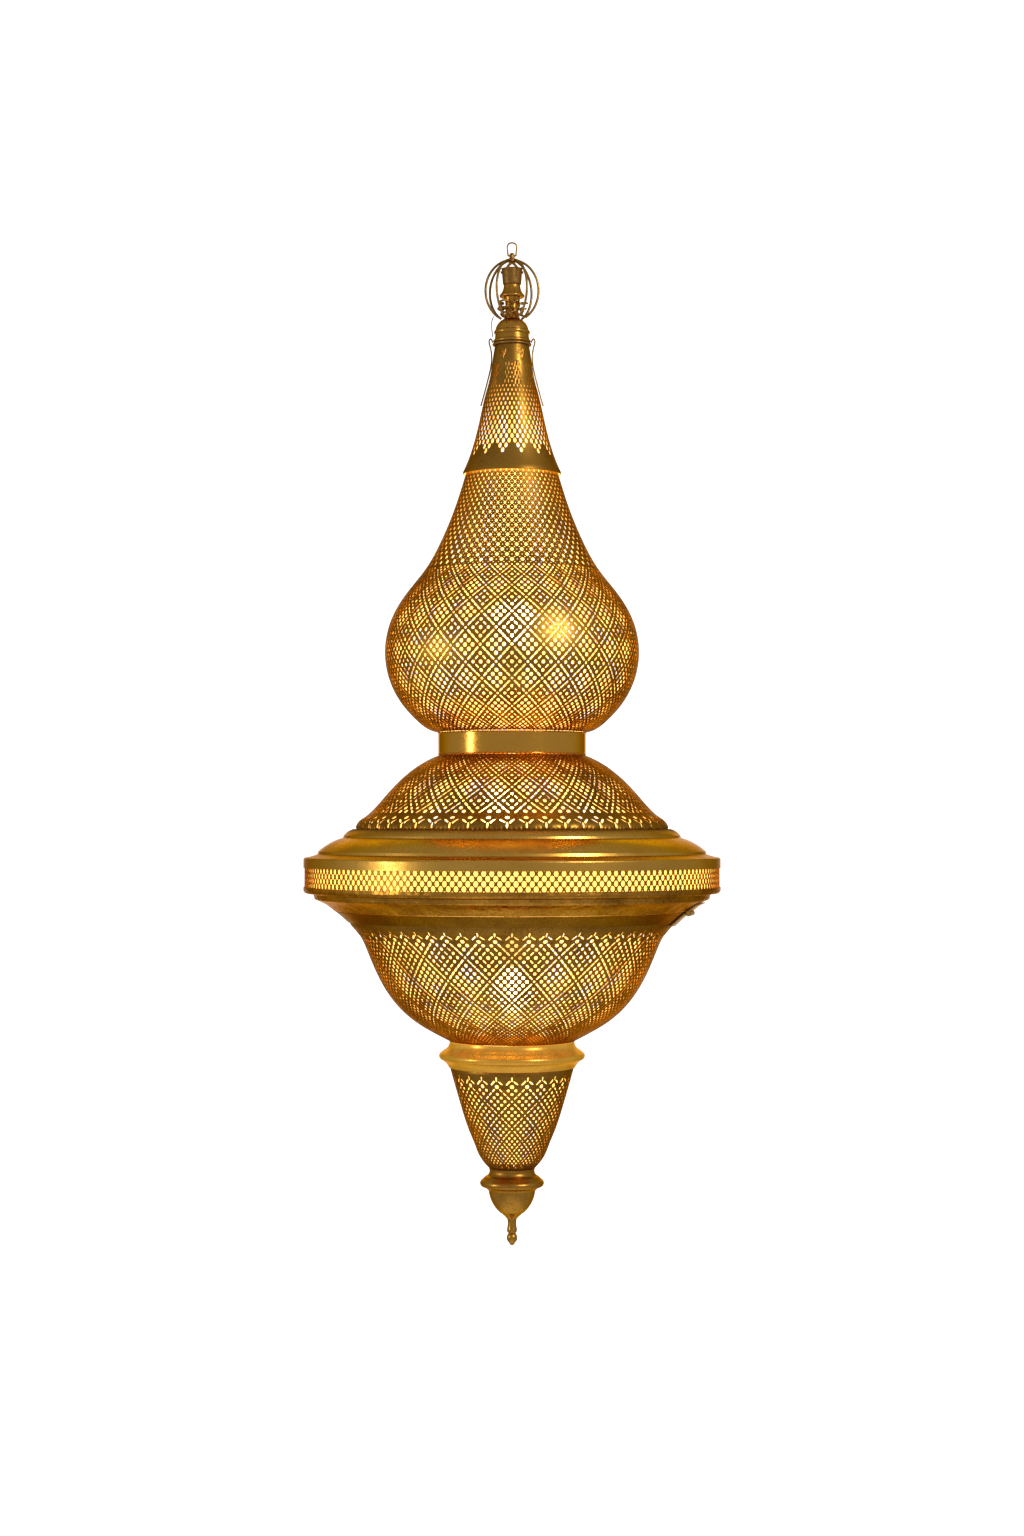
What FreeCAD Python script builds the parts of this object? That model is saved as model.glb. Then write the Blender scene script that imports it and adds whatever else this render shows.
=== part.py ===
import FreeCAD, Part
import math
import os

# Pierced-brass hanging lantern, built as an assembly of separate pieces.
# Millimetres, +Z up. The origin is the hang point: the highest point inside the hanging loop, where a
# hook carries the lantern. Everything is turned about the Z axis unless its function says otherwise.
# The front of the lantern faces -Y.

V = FreeCAD.Vector
UP = V(0, 0, 1)

# Driving dimensions ------------------------------------------------------------------------------
SHEET = 0.9                 # spun brass sheet of the pierced bodies
PLATE = 1.1                 # heavier sheet of the plain mouldings
DRUM_RADIUS = 230.0         # outside of the lattice drum, the widest place
ONION_RADIUS = 140.6        # belly of the upper body
NECK_RADIUS = 81.7          # outside of the plain neck band
ROD_RADIUS = 5.0            # hollow M10 lamp rod
ROD_BORE = 3.6
CLEARANCE = 0.15            # between a turned hole and the rod through it

# Heights of the seams between the pieces, from the top down
LOOP_BAR_Z = -13.6          # the bar of the loop that runs through the knot
KNOT_FOOT_Z = -20.5
CUP_TOP_Z = -28.0
CUP_FLOOR_Z = -45.5
VASE_FOOT_Z = -60.0
NECK_FOOT_Z = -84.0
CAP_FOOT_Z = -107.0
CONE_HEM_Z = -257.0
ONION_TOP_Z = -246.0
ONION_BELLY_Z = -453.0
ONION_FOOT_Z = -543.3
NECK_FOOT_BAND_Z = -568.2
DOME_FOOT_Z = -649.6
DRUM_TOP_Z = -681.0
LATTICE_TOP_Z = -692.5
LATTICE_FOOT_Z = -713.5
DRUM_FOOT_Z = -720.4
DOOR_SEAM_Z = -739.6        # where the swinging bowl meets the fixed drum
BOWL_TOP_Z = -752.0
BOWL_FOOT_Z = -884.0
TAIL_TOP_Z = -911.0
TAIL_FOOT_Z = -1023.5
ACORN_TOP_Z = -1047.8
DROP_TOP_Z = -1079.4
TIP_Z = -1108.5

# Top fittings
LOOP_WIRE = 0.9             # wire radius
LOOP_HALF_WIDTH = 5.2
HOOP_WIRE = 1.4
HOOP_HALF_WIDTH = 29.4      # the hoops are tall ovals, to the middle of the wire
HOOP_HALF_HEIGHT = 34.3
HOOP_CENTRE_Z = -52.5
HOOP_TURNS = {"crown_hoop_wide": (0.0, 180.0), "crown_hoops_inner": (42.0, -56.0, 147.0, 235.0)}
TIE_WIRE = 0.85
KNOT_COLLAR = 5.2
CAP_RADIUS = 19.3

# Outside of the tall cone, from its top down to its flared hem
CONE_PROFILE = [(16.9, -104.5), (18.6, -112.0), (21.0, -126.0), (24.8, -150.5), (30.0, -170.5),
                (36.0, -197.0), (42.6, -223.5), (46.6, -236.0), (50.6, -246.5), (55.8, CONE_HEM_Z)]

# The swinging bowl and its hinge
HINGE_TURN = -12.0          # the hinge stands this far round from +X, towards the front
HINGE_DISTANCE = 198.6      # from the lantern's axis to the hinge pin's axis
HINGE_PIN_Z = -741.6
HINGE_PIN = 1.25
HINGE_KNUCKLE = 2.9
HINGE_KNUCKLES = 5
HINGE_LENGTH = 30.0

# Lamps: where each bulb's axis stands, and the height of its holder's mouth
LAMPS = {
    "upper": {"x": 2.0, "y": -48.0, "mouth_z": -455.0, "points": 1},
    "middle": {"x": -12.0, "y": -50.0, "mouth_z": -662.0, "points": 1},
    "lower": {"x": 0.0, "y": 0.0, "mouth_z": -797.0, "points": -1},
}
HOLDER_RADIUS = 13.5
HOLDER_HEIGHT = 36.0
GLOBE_RADIUS = 22.5
BULB_LENGTH = 78.0          # from the foot of its cap to the top of its globe
BULB_CAP_RADIUS = 6.8
BULB_CAP_HEIGHT = 22.0
NUT_HEIGHT = 4.6
WINDOWS = {"upper": -482.0, "middle": -689.0}
WASHER_HEIGHT = 1.6


# Helpers -----------------------------------------------------------------------------------------
def at(r, z, turn=0.0):
    """The point at radius r and height z, turned round the axis by turn degrees from +X."""
    a = math.radians(turn)
    return V(r * math.cos(a), r * math.sin(a), z)


def closed_outline(*moves):
    """A face in the XZ half plane. A move is (r, z), or ((r, z), (r, z)) for an arc through a point."""
    edges = []
    start = here = V(moves[0][0], 0, moves[0][1])
    for move in moves[1:]:
        if isinstance(move[0], tuple):
            through, there = (V(r, 0, z) for r, z in move)
            edges.append(Part.Arc(here, through, there).toShape())
        else:
            there = V(move[0], 0, move[1])
            edges.append(Part.makeLine(here, there))
        here = there
    if here.distanceToPoint(start) > 1e-6:
        edges.append(Part.makeLine(here, start))
    return Part.Face(Part.Wire(edges))


def turned(*moves):
    """A solid turned about Z from a closed outline."""
    return closed_outline(*moves).revolve(V(), UP, 360)


def smooth(points):
    curve = Part.BSplineCurve()
    curve.interpolate([V(r, 0, z) for r, z in points])
    return curve


def spun(points, wall):
    """A thin shell spun about Z: its outside follows a smooth curve through the points, top down."""
    outside = smooth(points)
    inner = []
    for r, z in points:
        along = outside.tangent(outside.parameter(V(r, 0, z)))[0]
        normal = V(along.z, 0, -along.x)
        if outside.value(outside.FirstParameter).z < outside.value(outside.LastParameter).z:
            normal = -normal
        inner.append((r + normal.x * wall, z + normal.z * wall))
    inside = smooth(inner)
    a, b = V(points[0][0], 0, points[0][1]), V(points[-1][0], 0, points[-1][1])
    c, d = V(inner[0][0], 0, inner[0][1]), V(inner[-1][0], 0, inner[-1][1])
    wire = Part.Wire([outside.toShape(), Part.makeLine(b, d), inside.toShape(), Part.makeLine(c, a)])
    return Part.Face(wire).revolve(V(), UP, 360)


def rod(radius, start, end):
    start, end = V(*start), V(*end)
    return Part.makeCylinder(radius, start.distanceToPoint(end), start, end - start)


def rounded_path(points, radius, closed=False):
    """Straight runs joined by tangent arcs. The radius is one number, or one for each inner point."""
    points = [V(*p) for p in points]
    count = len(points)
    corners = range(count) if closed else range(1, count - 1)
    radii = radius if isinstance(radius, (list, tuple)) else [radius] * count
    bends = {}
    for i in corners:
        before, here, after = points[i - 1], points[i], points[(i + 1) % count]
        u, w = (before - here).normalize(), (after - here).normalize()
        half = u.getAngle(w) / 2
        reach = radii[i] / math.tan(half)
        middle = here + (u + w).normalize() * (radii[i] / math.sin(half) - radii[i])
        bends[i] = (here + u * reach, middle, here + w * reach)
    edges = []
    for i in range(count if closed else count - 1):
        j = (i + 1) % count
        a = bends[i][2] if i in bends else points[i]
        b = bends[j][0] if j in bends else points[j]
        if a.distanceToPoint(b) > 1e-4:
            edges.append(Part.makeLine(a, b))
        if j in bends:
            edges.append(Part.Arc(*bends[j]).toShape())
    return Part.Wire(edges)


def wire_along(path, radius):
    """A round wire that follows a path."""
    first = path.Edges[0]
    where, along = first.valueAt(first.FirstParameter), first.tangentAt(first.FirstParameter)
    ring = Part.Wire(Part.makeCircle(radius, where, along))
    return path.makePipeShell([ring], True, False)


def ring_wire(major, minor, z):
    return Part.makeTorus(major, minor, V(0, 0, z))


def hex_nut(across_flats, height, bore, foot_z):
    corner = across_flats / math.sqrt(3)
    corners = [at(corner, foot_z, 60 * k + 30) for k in range(7)]
    blank = Part.Face(Part.makePolygon(corners)).extrude(V(0, 0, height))
    return blank.cut(rod(bore, (0, 0, foot_z - 1), (0, 0, foot_z + height + 1)))


def washer(outside, inside, foot_z, height):
    return turned((inside, foot_z), (outside, foot_z), (outside, foot_z + height), (inside, foot_z + height))


def group(solids):
    """Separate solids that share one node."""
    return Part.makeCompound([s for shape in solids for s in shape.Solids])


def lamp_turn(name):
    return math.degrees(math.atan2(LAMPS[name]["y"], LAMPS[name]["x"]))


def turn_to_hinge(shape):
    shape.rotate(V(), UP, HINGE_TURN)
    return shape


# Top fittings ------------------------------------------------------------------------------------
def hanging_loop():
    """An egg-shaped wire loop. Its straight bottom bar runs through the knot, along X."""
    shoulder_z = LOOP_WIRE - LOOP_HALF_WIDTH
    bar, foot_half = LOOP_BAR_Z, 4.35
    top_z = LOOP_WIRE
    side = LOOP_HALF_WIDTH
    slope = (side - foot_half) / (shoulder_z - bar)
    apex = side + slope * (top_z - shoulder_z)
    points = [(foot_half, 0, bar), (apex, 0, top_z), (-apex, 0, top_z), (-foot_half, 0, bar)]
    radii = [0.95, 4.75, 4.75, 0.95]
    return wire_along(rounded_path(points, radii, closed=True), LOOP_WIRE)


def crown_knot():
    """The turned eye that gathers the hoops. The loop's bar passes through its cross hole."""
    knot = turned((0, -10.3), ((2.3, -11.1), (2.95, -13.0)), (2.95, -15.6), ((3.4, -16.8), (4.6, -17.2)),
                  (KNOT_COLLAR, -17.8), (KNOT_COLLAR, KNOT_FOOT_Z), (0, KNOT_FOOT_Z))
    return knot.cut(rod(LOOP_WIRE + 0.3, (-8, 0, LOOP_BAR_Z), (8, 0, LOOP_BAR_Z)))


def hoop_half(turn):
    """Half an oval hoop, from the knot's collar round to the neck, in the upright plane at turn."""
    top = at(0, HOOP_CENTRE_Z + HOOP_HALF_HEIGHT)
    oval = Part.Ellipse(top, at(HOOP_HALF_WIDTH, HOOP_CENTRE_Z, turn), at(0, HOOP_CENTRE_Z))
    path = Part.Wire(Part.ArcOfEllipse(oval, math.radians(10.8), math.radians(150.0)).toShape())
    return wire_along(path, HOOP_WIRE)


def crown_hoop(turns):
    return group([hoop_half(turn) for turn in turns])


STRAP_LEG_X = 8.2
STRAP_FOOT_Z = -41.0
STRAP_THICK = 1.6
STRAP_WIDTH = 5.0
PIN_Z = -32.2


def hanger_strap():
    """A flat strap bent to a narrow inverted V. It carries the rod and ends in the cup."""
    half = STRAP_THICK / 2
    shoulder_z = -29.0
    top = KNOT_FOOT_Z
    outline = [(-STRAP_LEG_X - half, STRAP_FOOT_Z), (-STRAP_LEG_X - half, shoulder_z), (-2.4, top),
               (2.4, top), (STRAP_LEG_X + half, shoulder_z), (STRAP_LEG_X + half, STRAP_FOOT_Z),
               (STRAP_LEG_X - half, STRAP_FOOT_Z), (STRAP_LEG_X - half, shoulder_z - 0.4), (0.6, top - 2.2),
               (-0.6, top - 2.2), (-STRAP_LEG_X + half, shoulder_z - 0.4), (-STRAP_LEG_X + half, STRAP_FOOT_Z)]
    points = [V(x, -STRAP_WIDTH / 2, z) for x, z in outline]
    blank = Part.Face(Part.makePolygon(points + points[:1])).extrude(V(0, STRAP_WIDTH, 0))
    return blank.cut(rod(1.25, (-12, 0, PIN_Z), (12, 0, PIN_Z)))


def strap_rivets():
    """One rivet on each side, through the cup's wall and a leg of the strap."""
    rivets = []
    for s in (-1, 1):
        rivets.append(rod(1.2, (s * 6.6, 0, PIN_Z), (s * 12.0, 0, PIN_Z)))
        rivets[-1] = rivets[-1].fuse(rod(1.9, (s * 11.75, 0, PIN_Z), (s * 12.6, 0, PIN_Z))).removeSplitter()
    return group(rivets)


def finial_cup():
    """An open tapered cup with a floor over the rod."""
    hole = ROD_RADIUS + CLEARANCE
    cup = turned((hole, CUP_FLOOR_Z), (9.9, CUP_FLOOR_Z), (10.3, -44.0), (11.5, -29.2), (11.9, CUP_TOP_Z),
                 (10.7, CUP_TOP_Z), (9.4, -43.6), (hole, -43.6))
    return cup.cut(rod(1.25, (-14, 0, PIN_Z), (14, 0, PIN_Z)))


def finial_vase():
    hole = ROD_RADIUS + CLEARANCE
    return turned((hole, -45.6), (8.9, -45.6), (9.3, -47.0), ((10.4, -52.5), (13.4, -57.0)),
                  ((13.9, -58.6), (13.2, VASE_FOOT_Z)), (hole, VASE_FOOT_Z))


def neck_sleeve():
    """The narrow neck that the hoops' ends are bound to."""
    hole = ROD_RADIUS + CLEARANCE
    return turned((hole, VASE_FOOT_Z - 0.1), (9.0, VASE_FOOT_Z - 0.1), ((7.6, -66.0), (7.4, -72.0)),
                  ((7.7, -79.0), (9.0, NECK_FOOT_Z)), (hole, NECK_FOOT_Z))


def wavy_turn(radius, swell, lobes, z, lift, phase, wire):
    """One turn of wire round the axis, in lobes that swell outwards and rise. Its ends nearly meet."""
    points = []
    for k in range(lobes * 8 + 1):
        turn = 348.0 * k / (lobes * 8)
        wave = math.radians(lobes * turn + phase)
        points.append(at(radius + swell * math.cos(wave), z + lift * math.sin(wave), turn))
    curve = Part.BSplineCurve()
    curve.interpolate(points)
    return wire_along(Part.Wire(curve.toShape()), wire)


def binding_wire():
    """Three wavy turns of wire wound round the neck, inside the hoops' feet."""
    return group([wavy_turn(13.2, 3.8, 5, -66.6, 1.5, 0, 1.1), wavy_turn(12.6, 3.2, 7, -72.8, 1.5, 80, 1.1),
                  wavy_turn(11.6, 2.0, 6, -78.8, 1.3, 200, 1.0)])


def dome_cap():
    """The bell over the top of the cone, with a soft bead round its waist."""
    hole = ROD_RADIUS + CLEARANCE
    wall = 1.2
    edge = CAP_RADIUS - 0.8
    return turned((hole, NECK_FOOT_Z - 0.1), (8.6, NECK_FOOT_Z - 0.1), ((15.4, -89.2), (edge, -96.6)),
                  ((CAP_RADIUS + 0.7, -99.0), (edge, -101.4)), (CAP_RADIUS, CAP_FOOT_Z),
                  (CAP_RADIUS - wall, CAP_FOOT_Z), (edge - wall, -101.0), (edge - wall, -97.0),
                  ((14.8, -90.2), (8.4, NECK_FOOT_Z - 1.4)), (hole, NECK_FOOT_Z - 1.4))


def cap_bead():
    """The rolled bead that closes the cap's foot."""
    return turned((18.9, -107.1), (19.4, -107.1), ((20.8, -109.0), (19.4, -110.9)), (18.9, -110.9))


def tie_ring():
    return ring_wire(20.5, 1.3, -112.6)


def tie_wires():
    """A wire down each side, from an ear beside the cap to a hole in the cone, and a brace to a hoop."""
    wires = []
    for s in (-1, 1):
        ear = [(s * 22.0, 0, -110.2), (s * 22.6, 0, -107.3), (s * 24.0, 0, -106.2), (s * 25.2, 0, -108.2),
               (s * 24.6, 0, -113.6)]
        down = [(s * (r + 1.6), 0, z) for r, z in CONE_PROFILE if -190.0 < z < -120.0]
        down.append((s * 34.6, 0, -181.0))
        curve = Part.BSplineCurve()
        curve.interpolate([V(*p) for p in ear + down])
        wires.append(wire_along(Part.Wire(curve.toShape()), TIE_WIRE))
    brace = [(-21.6, 0, -104.0), (-22.4, 0, -95.0), (-22.6, 0, -87.0), (-20.6, 0, -81.2)]
    wires.append(wire_along(rounded_path(brace, [0, 20, 8, 0]), 0.6))
    return group(wires)


# Pierced bodies ----------------------------------------------------------------------------------
def cone_cap():
    """The tall cone over the onion's neck, with a flared hem."""
    return spun(CONE_PROFILE, SHEET)


def onion_shell():
    """The pear-shaped upper body. Its foot turns in and rests on the neck band."""
    return spun([(48.0, ONION_TOP_Z), (51.4, -257.0), (61.8, -290.0), (77.9, -330.0), (96.1, -363.0),
                 (116.5, -389.3), (132.5, -416.0), (ONION_RADIUS, ONION_BELLY_Z), (136.4, -482.5),
                 (123.7, -509.0), (107.0, -528.5), (90.0, -541.0), (81.0, ONION_FOOT_Z)], SHEET)


def shoulder_dome():
    """The pierced dome between the neck band and the drum, with a rounded shoulder at its foot."""
    return spun([(80.9, NECK_FOOT_BAND_Z - 0.3), (95.0, -575.0), (114.3, -588.0), (128.7, -601.3),
                 (140.8, -614.6), (152.4, -627.8), (160.6, -635.2), (168.6, -641.0),
                 (173.2, DOME_FOOT_Z)], SHEET)


def bowl_shell():
    """The pierced bowl: a short cove under its rim, then a round belly."""
    return spun([(180.0, BOWL_TOP_Z - 0.9), (173.9, -760.0), (167.0, -768.4), (162.6, -777.0),
                 (158.5, -787.0), (146.9, -813.4), (130.0, -840.0), (109.3, -860.0), (87.0, -874.0),
                 (68.6, BOWL_FOOT_Z + 0.3)], SHEET)


def tail_cone():
    """The pierced tapering tail under the bowl."""
    return spun([(68.6, TAIL_TOP_Z - 1.5), (63.5, -930.5), (55.8, -957.0), (46.9, -983.5), (41.4, -996.7),
                 (35.9, -1010.0), (29.8, -1018.6), (25.2, TAIL_FOOT_Z)], SHEET)


# Plain mouldings ---------------------------------------------------------------------------------
def neck_band():
    """The plain collar between onion and dome, with a small rolled lip at each edge."""
    top, foot, wall = ONION_FOOT_Z - 0.1, NECK_FOOT_BAND_Z, 1.2
    r = NECK_RADIUS
    return turned((r - wall, top), (r - 0.2, top), ((r + 0.5, top - 0.8), (r, top - 1.7)), (r, foot + 1.7),
                  ((r + 0.5, foot + 0.8), (r - 0.2, foot)), (r - wall, foot))


def upper_flange():
    """The stepped cover of the drum, with its lip turned down over the lattice."""
    r, w = DRUM_RADIUS, PLATE
    return turned((173.0, DOME_FOOT_Z - 0.3), (175.2, DOME_FOOT_Z - 0.3), ((181.2, -652.6), (186.0, -657.2)),
                  (186.6, -659.4), ((201.6, -665.6), (213.8, -674.4)), (214.6, -677.4),
                  ((221.0, -679.6), (r - 2.6, DRUM_TOP_Z)), ((r - 0.7, -681.8), (r, -683.8)),
                  (r, LATTICE_TOP_Z), (r - w, LATTICE_TOP_Z), (r - w, -684.0),
                  ((r - 1.6, -682.8), (r - 3.0, DRUM_TOP_Z - w)), (213.6, -678.4), (212.9, -675.4),
                  ((200.9, -666.8), (185.6, -660.3)), (184.9, -658.0), (173.0, -651.8))


def lattice_band():
    """The pierced hoop of the drum, held between the two lips."""
    return washer(DRUM_RADIUS - PLATE - 0.1, DRUM_RADIUS - PLATE - 1.0, LATTICE_FOOT_Z - 2.6,
                  LATTICE_TOP_Z - LATTICE_FOOT_Z + 5.6)


def band_liner():
    """A strip of heat-proof parchment behind the lattice, which spreads the light."""
    foot = LATTICE_FOOT_Z - 3.0
    return washer(DRUM_RADIUS - 3.6, DRUM_RADIUS - 4.2, foot, LATTICE_TOP_Z + 2.5 - foot)


def lower_flange():
    """The underside of the drum: an upturned lip, a step, and the slope down to the bowl's seam."""
    r, w = DRUM_RADIUS, PLATE
    return turned((r - w, LATTICE_FOOT_Z), (r, LATTICE_FOOT_Z), (r, -716.6),
                  ((r - 1.3, -719.6), (r - 4.4, DRUM_FOOT_Z)), (219.0, -721.6), (218.2, -724.4),
                  ((217.6, -726.4), (215.6, -727.8)), ((205.4, -732.6), (196.2, DOOR_SEAM_Z)),
                  (191.0, DOOR_SEAM_Z), (191.0, DOOR_SEAM_Z + w), (195.6, DOOR_SEAM_Z + w),
                  ((204.8, -731.5), (214.8, -726.8)), (216.9, -725.0), (217.4, DRUM_FOOT_Z),
                  (r - 4.6, DRUM_FOOT_Z + w), ((r - 2.1, -718.8), (r - w, -716.4)))


def bowl_rim():
    """The plain cove at the top of the swinging bowl, with a flat seat under the drum."""
    w = PLATE
    top = DOOR_SEAM_Z - 0.5
    return turned((186.0, top), (195.2, top), ((188.6, -745.4), (181.4, BOWL_TOP_Z)), (180.0, BOWL_TOP_Z),
                  ((187.2, -745.2), (192.2, top - w)), (186.0, top - w))


def bowl_ring():
    """The moulding between bowl and tail."""
    return turned((66.8, BOWL_FOOT_Z), (69.0, BOWL_FOOT_Z), ((70.4, -889.2), (75.4, -893.6)),
                  (79.2, -896.6), ((80.6, -899.6), (79.0, -903.2)), ((73.6, -907.0), (69.9, TAIL_TOP_Z - 1.4)),
                  (68.9, TAIL_TOP_Z - 1.4), ((72.7, -906.2), (78.0, -902.6)), ((79.2, -899.6), (78.2, -897.4)),
                  (74.6, -894.8), ((69.0, -889.8), (67.6, -885.2)), (66.8, -885.2))


def tail_ring():
    """The small moulding under the tail."""
    return turned((23.4, TAIL_FOOT_Z - 0.2), (25.4, TAIL_FOOT_Z - 0.2), ((25.2, -1028.6), (29.4, -1032.6)),
                  (33.0, -1036.0), ((35.3, -1039.8), (33.2, -1043.6)), ((28.8, -1045.6), (26.6, ACORN_TOP_Z)),
                  (22.4, ACORN_TOP_Z), ((27.2, -1043.2), (31.8, -1041.6)), ((32.6, -1039.8), (31.4, -1037.4)),
                  (27.6, -1034.2), ((22.8, -1029.4), (23.4, TAIL_FOOT_Z - 0.2)))


def acorn_cup():
    """The bell under the tail, closed round the tail rod."""
    hole = 3.0 + CLEARANCE
    return turned((24.4, ACORN_TOP_Z - 0.1), (25.8, ACORN_TOP_Z - 0.1), ((22.6, -1060.0), (13.6, -1072.2)),
                  ((8.2, -1076.4), (5.4, DROP_TOP_Z)), (hole, DROP_TOP_Z), (hole, -1077.0),
                  ((7.2, -1075.4), (12.4, -1071.4)), ((21.4, -1059.4), (24.4, ACORN_TOP_Z - 0.1)))


def finial_drop():
    """The turned drop that screws onto the tail rod from below."""
    bore, depth = 3.0 + 0.02, -1089.0
    return turned((bore, DROP_TOP_Z - 0.1), (5.2, DROP_TOP_Z - 0.1), (4.7, -1083.5),
                  ((5.0, -1087.5), (5.6, -1091.0)), ((5.2, -1093.6), (3.8, -1095.4)),
                  ((5.9, -1100.2), (4.0, -1105.0)), (1.6, TIP_Z), (0, TIP_Z), (0, depth), (bore, depth))


# Frame inside ------------------------------------------------------------------------------------
def spider(hub_radius, reach, arms, width, foot_z, height, first_turn, toe=0.0):
    """A hub on the rod with flat arms. A toe is a foot under each arm's end, this deep."""
    shape = washer(hub_radius, ROD_RADIUS + CLEARANCE, foot_z, height)
    for k in range(arms):
        start = hub_radius - 2.0
        arm = Part.makeBox(reach - start, width, height, V(start, -width / 2, foot_z))
        if toe:
            arm = arm.fuse(Part.makeBox(6.0, width, toe + 1.0, V(reach - 6.0, -width / 2, foot_z - toe)))
        arm.rotate(V(), UP, first_turn + 360.0 * k / arms)
        shape = shape.fuse(arm)
    return shape.removeSplitter()


NECK_SPIDER_Z = -558.0
DRUM_SPIDER_Z = -712.0


def neck_spider():
    """Three arms soldered inside the neck band, with a hub on the rod."""
    return spider(14.0, NECK_RADIUS - 1.6, 3, 10.0, NECK_SPIDER_Z, 2.0, 30.0)


def drum_spider():
    """Four arms that stand on the drum's step and carry it from the rod."""
    return spider(36.0, DRUM_RADIUS - 5.4, 4, 14.0, DRUM_SPIDER_Z, 2.5, 45.0,
                  toe=DRUM_SPIDER_Z - DRUM_FOOT_Z - PLATE - 0.1)


ROD_TOP_Z = -36.6
ROD_FOOT_Z = -748.0


def main_rod():
    """The hollow rod that carries everything. The leads run inside it and leave by side windows."""
    tube = washer(ROD_RADIUS, ROD_BORE, ROD_FOOT_Z, ROD_TOP_Z - ROD_FOOT_Z)
    for name, z in WINDOWS.items():
        window = Part.makeBox(6.0, 8.0, 8.0, V(-3.0, 0, z - 4.0))
        window.rotate(V(), UP, lamp_turn(name))
        tube = tube.cut(window)
    return tube


def nut_heights():
    """Foot heights of the nuts on the rod, with each nut's washer on the side of what it clamps."""
    above = NUT_HEIGHT + WASHER_HEIGHT
    return [(-43.5, -1), (NECK_FOOT_Z - 1.5 - above, 1), (NECK_SPIDER_Z + 2.1, -1),
            (NECK_SPIDER_Z - 0.1 - above, 1), (DRUM_SPIDER_Z + 2.6, -1), (DRUM_SPIDER_Z - 0.1 - above, 1)]


def rod_nuts():
    nuts = []
    for foot, side in nut_heights():
        nuts.append(hex_nut(14.0, NUT_HEIGHT, ROD_RADIUS + 0.02, foot + (WASHER_HEIGHT if side < 0 else 0)))
    return group(nuts)


def rod_washers():
    rings = []
    for foot, side in nut_heights():
        outside = 7.2 if foot > -100 else 10.5
        low = foot if side < 0 else foot + NUT_HEIGHT
        rings.append(washer(outside, ROD_RADIUS + CLEARANCE, low + 0.02, WASHER_HEIGHT - 0.04))
    return group(rings)


def cord_bush():
    """The insulating bush in the top of the rod, where a supply cord goes in."""
    top, plug = ROD_TOP_Z, ROD_BORE - 0.02
    return turned((2.9, top + 1.4), (4.6, top + 1.4), (4.6, top + 0.05), (plug, top + 0.05), (plug, top - 8.0),
                  (2.9, top - 8.0))


def tail_spider():
    """The cross plate inside the bowl ring that holds the tail rod."""
    z, height = -893.0, 2.5
    shape = washer(10.0, 3.0 + CLEARANCE, z, height)
    for turn in (0, 120, 240):
        bar = Part.makeBox(60.3, 9.0, height, V(8.5, -4.5, z))
        bar.rotate(V(), UP, turn)
        shape = shape.fuse(bar)
    return shape.removeSplitter()


def tail_rod():
    return rod(3.0, (0, 0, -1088.5), (0, 0, -884.5))


def tail_nuts():
    return group([hex_nut(10.0, 5.0, 3.02, z) for z in (-890.4, -898.1)])


# Lamps -------------------------------------------------------------------------------------------
def lamp_parts(x, y, mouth_z, points):
    """Holder, cap with filament, and glass globe, with the globe above the mouth or below it."""
    def place(shape):
        if points < 0:
            shape.rotate(V(), V(1, 0, 0), 180)
        shape.translate(V(x, y, mouth_z))
        return shape

    # Local frame: the holder's mouth is at 0, and the bulb stands up out of it.
    r, h = HOLDER_RADIUS, HOLDER_HEIGHT
    sleeve = BULB_CAP_RADIUS + 0.25
    holder = turned((0, -h), (r - 3, -h), ((r - 0.9, -h + 0.9), (r, -h + 3)), (r, -4.5), (r + 1.2, -4.0),
                    (r + 1.2, -1.5), (r - 1.5, 0), (sleeve, 0), (sleeve, -BULB_CAP_HEIGHT - 1.6),
                    (0, -BULB_CAP_HEIGHT - 1.6))
    cap_foot = -BULB_CAP_HEIGHT
    c = BULB_CAP_RADIUS
    cap = turned((0, cap_foot), (2.6, cap_foot), (4.4, cap_foot + 2.4), (c, cap_foot + 4.4), (c, 1.2),
                 (c + 1.6, 3.2), (c + 1.6, 5.0), (0, 5.0))
    top = BULB_LENGTH - BULB_CAP_HEIGHT
    centre = top - GLOBE_RADIUS
    g, wall = GLOBE_RADIUS, 0.7
    neck = 8.3
    join = centre - math.sqrt(g * g - (neck + 5.2) ** 2)
    globe = turned((neck, 5.1), ((neck + 1.2, 9.5), (neck + 5.2, join)), ((g, centre), (0, top)), (0, top - wall),
                   ((g - wall, centre), (neck + 4.5, join + 0.4)), ((neck + 0.5, 9.7), (neck - wall, 5.1)))
    stem = turned((0, 5.05), (3.4, 5.05), (2.2, 14.0), (1.1, 24.0), (0, 24.0))
    posts = []
    for k in range(4):
        a = math.radians(90 * k + 45)
        foot = (1.5 * math.cos(a), 1.5 * math.sin(a), 20.0)
        head = (5.6 * math.cos(a), 5.6 * math.sin(a), 46.0)
        posts.append(rod(0.7, foot, head))
    filament = stem.fuse(posts).removeSplitter()
    return place(holder), place(group([cap, filament])), place(globe)


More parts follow.
